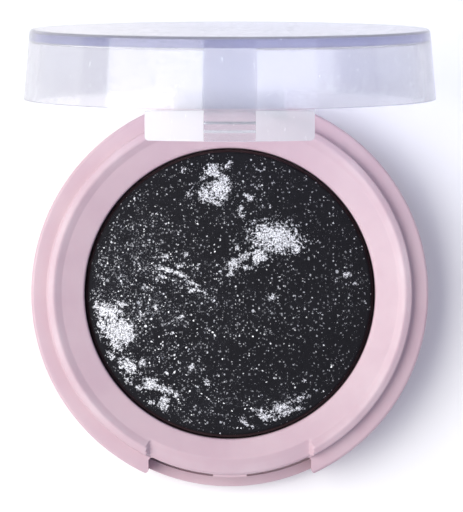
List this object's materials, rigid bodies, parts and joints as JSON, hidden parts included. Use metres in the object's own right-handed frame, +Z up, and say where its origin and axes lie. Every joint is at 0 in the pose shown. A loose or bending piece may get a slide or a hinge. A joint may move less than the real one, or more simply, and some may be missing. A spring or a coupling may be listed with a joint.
{
  "type": "eyeshadow compact",
  "caption": "Shallow round pink compact with a hinged clear lid, holding a domed cake of dark marbled baked eyeshadow.",
  "frame": {"origin": "centre of the compact's underside, on the plane that it stands on", "axes": "+Z up out of the pan, +Y towards the hinge at the rear, +X to the right seen from the front notch; the lid is stored standing open at 84.9 degrees"},
  "size_m": [0.052, 0.0613, 0.0532],
  "materials": {
    "pink_shell": "satin",
    "pink_frame": "satin",
    "fired_clay": "unglazed",
    "powder": "matte with metallic flecks",
    "adhesive": "matte",
    "label_paper": "matte",
    "pin_steel": "drawn wire",
    "clear_lid": "clear, polished"
  },
  "bodies": {
    "base": {"base_shell": "pink_shell", "deck_frame": "pink_frame", "baking_dish": "fired_clay", "powder_cake": "powder", "adhesive_pad": "adhesive", "underside_label": "label_paper", "hinge_pin": "pin_steel"},
    "lid": {"lid": "clear_lid"}
  },
  "joints": [
    {"name": "lid_hinge", "type": "hinge", "parent": "base", "child": "lid", "pos_m": [0, 0.023, 0.004], "axis": [-1, 0, 0], "range_deg": [-84.9, 12.1]}
  ]
}
